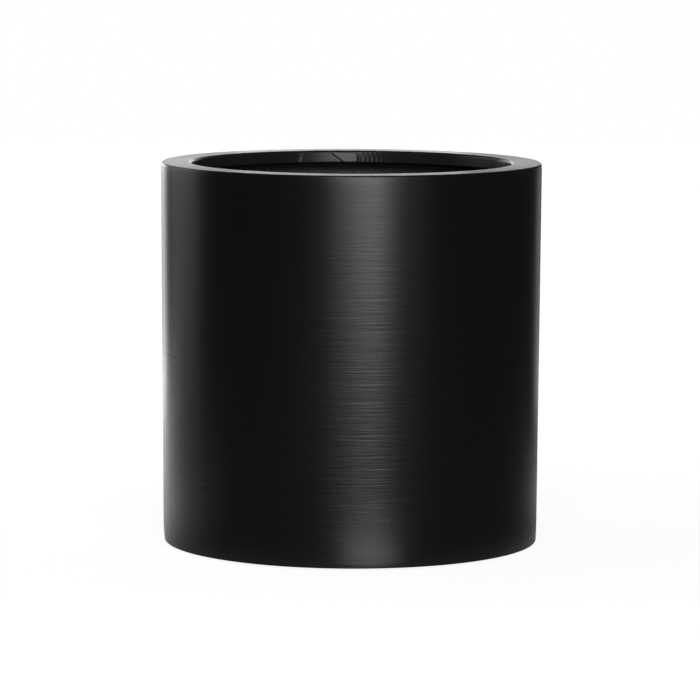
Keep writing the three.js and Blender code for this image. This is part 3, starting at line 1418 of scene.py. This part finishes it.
@dataclass
class Studio:
    """White sweep, lamps and the camera that took the picture."""

    floor_half: float = 8.0
    floor_colour: str = "#9a9a9a"
    white_from: float = 0.45  # the floor's own white grows from the planter's foot ...
    white_to: float = 1.6  # ... to this distance, where it is whole
    foot_white: float = 0.9
    # painted pools of light, seen only in reflections; the bright one in front of the foot paints the
    # highlight low on the wall
    pools: tuple[Pool, ...] = (
        Pool((0.0, 0.0), 0.262, 0.33, 0.16),
        Pool((0.042, -0.33), 0.02, 0.09, 2.3),
        Pool((0.07, -0.42), 0.02, 0.16, 0.75),
        Pool((-0.6, 0.05), 0.1, 0.4, 0.27),
        Pool((-0.3, 0.45), 0.15, 0.6, 0.68),
        Pool((0.3, 0.5), 0.15, 0.6, 0.23),
        Pool((-0.8, 1.2), 0.3, 1.0, 0.82),
        Pool((0.0, 1.8), 0.4, 1.3, 0.45),
    )
    fill: float = 0.056
    focal_px: float = 4174.9
    picture_px: int = 700
    sensor_mm: float = 36.0
    camera_distance: float = 5.4763
    camera_height: float = 0.8957
    camera_aside: float = -0.00093
    pitch_degrees: float = 6.6895
    roll_degrees: float = 0.2546
    lamps: tuple[Softbox, ...] = (
        Softbox("key_core_low", 12, 2.4, 0.45, 0.2, 0.7, 2.0),
        Softbox("key_core_high", 12, 2.4, 0.45, 0.7, 1.4, 0.67),
        Softbox("key_half_low", 10.5, 2.4, 0.85, 0.2, 0.7, 2.6),
        Softbox("key_half_high", 10.5, 2.4, 0.85, 0.7, 1.4, 1.26),
        Softbox("key_wide_low", 9, 2.4, 1.5, 0.2, 0.7, 1.3),
        Softbox("key_wide_high", 9, 2.4, 1.5, 0.7, 1.4, 2.5),
        Softbox("key_left", -4, 2.4, 0.7, 0.7, 1.4, 3.5),
        Softbox("key_right", 34, 2.4, 0.8, 0.2, 1.4, 0.32),
        Softbox("front_head", 0, 2.4, 2.6, 1.4, 2.2, 1.2),
        Softbox("right_back_low", 150, 1.4, 0.37, 0.0, 0.45, 0.33),
        Softbox("right_back", 165, 1.4, 0.37, 0.45, 0.85, 0.95),
        Softbox("back", 180, 1.4, 0.37, 0.45, 0.85, 2.4),
        Softbox("back_left", 195, 1.4, 0.37, 0.45, 0.85, 1.3),
        Softbox("left_back_low", 210, 1.4, 0.37, 0.0, 0.45, 1.57),
        Softbox("left_back", 210, 1.4, 0.37, 0.45, 0.65, 5.0),
        Softbox("left_rear_side", 225, 1.4, 0.37, 0.45, 1.3, 0.39),
        Softbox("left_side_low", 247, 1.4, 0.8, 0.0, 0.45, 0.33),
        Softbox("left_side", 247, 1.4, 0.8, 0.45, 1.3, 1.05),
    )

    def floor_material(self) -> Material:
        """Builds the sweep: grey paper that takes the shadow, with its white added.

        The camera sees it white. Gloss sees only the painted pools of light on it: glow that the paper
        gives off itself, in place of lamplight falling on it.

        Returns:
            The material.
        """
        made, add = new_material("paper_sweep")
        place = add(PLACE).outputs["Object"]
        away = add(VECTOR, (place,), operation="LENGTH")
        white = add(
            FADE,
            (away, self.white_from, self.white_to, self.foot_white, 1.0),
            interpolation_type="SMOOTHSTEP",
        )
        painted_glow = 0.0
        for pool in self.pools:
            off = add(VECTOR, (place, (*pool.centre, 0.0)), operation="DISTANCE")
            glow = add(FADE, (off, pool.inner, pool.outer, pool.glow, 0.0), interpolation_type="SMOOTHSTEP")
            painted_glow = add(MATH, (glow, painted_glow), operation="ADD")
        path = add("ShaderNodeLightPath").outputs
        seen = add(MATH, (path["Is Camera Ray"], white), operation="MULTIPLY")
        gloss = add(MATH, (path["Is Glossy Ray"], path["Is Transmission Ray"]), operation="MAXIMUM")
        strength = add(MATH, (gloss, painted_glow, seen), operation="MULTIPLY_ADD")
        paper = add("ShaderNodeBsdfDiffuse", {"Color": linear(self.floor_colour)})
        light = add("ShaderNodeEmission", {"Strength": strength})
        both = add("ShaderNodeAddShader", (paper, light))
        add(SURFACE, (both,))
        return made

    def floor(self) -> None:
        """Lays the sweep under the planter."""
        half = self.floor_half
        edges = [(-half, -half, 0), (half, -half, 0), (half, half, 0), (-half, half, 0)]
        mesh = bpy.data.meshes.new("studio_floor")
        mesh.from_pydata(edges, [], [(0, 1, 2, 3)])
        mesh.materials.append(self.floor_material())
        link_object("studio_floor", mesh)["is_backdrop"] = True

    def world(self) -> None:
        """Makes the surroundings white to the camera and dim to everything else."""
        world = bpy.data.worlds.new("studio")
        world.use_nodes = True
        world.node_tree.nodes.clear()
        add = partial(add_node, world.node_tree)
        seen = add("ShaderNodeLightPath").outputs["Is Camera Ray"]
        strength = add(MATH, (seen, 1 - self.fill, self.fill), operation="MULTIPLY_ADD")
        sky = add("ShaderNodeBackground", {"Color": (1, 1, 1, 1), "Strength": strength})
        add("ShaderNodeOutputWorld", {"Surface": sky})
        bpy.context.scene.world = world

    def camera(self) -> None:
        """Sets the camera up as it stood."""
        data = bpy.data.cameras.new("camera")
        data.sensor_width = self.sensor_mm
        data.lens = self.focal_px / self.picture_px * self.sensor_mm
        camera = link_object("camera", data)
        aim = Euler((math.radians(90 - self.pitch_degrees), 0, 0)).to_matrix()
        roll = Matrix.Rotation(math.radians(self.roll_degrees), 3, "Z")
        camera.rotation_euler = (aim @ roll).to_euler()
        camera.location = (self.camera_aside, -self.camera_distance, self.camera_height)
        bpy.context.scene.camera = camera

    def build(self) -> None:
        """Sets up the whole studio."""
        self.floor()
        self.world()
        self.camera()
        for lamp in self.lamps:
            lamp.build()
        bpy.context.scene.view_settings.view_transform = "Standard"


# ---- Assembly ----


def corners(box: Box) -> list[list[float]]:
    """Turns a box's two corners into plain lists."""
    return [list(corner) for corner in box]


def main() -> None:
    """Builds the planter piece by piece, dresses it and sets up the studio."""
    logging.basicConfig(level=logging.INFO, format="%(name)s: %(message)s")
    shop = Workshop()
    shell = Shell(shop)
    wall = shell.build()
    tape = LipTape(shop, shell).build()
    floor = Floor(shop, shell)
    panel = floor.panel()
    mat = StrandMat(shop)
    pieces = [
        wall,
        tape,
        panel,
        floor.fillet(),
        mat.build("wall_strands", wall, shell.rim_box[0].z, seed=11),
        mat.build("floor_strands", panel, floor.panel_box[1].z + floor.thickness, seed=12),
        DrainPlug(shop).build(),
        FootPads(shop).build(),
    ]
    for piece in pieces:
        log.info("%s: %d faces", piece.name, len(piece.data.polygons))
    Studio().build()
    {"cad": corners(CAD_BOX), "visual": corners(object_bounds())}


if __name__ == "__main__":
    main()
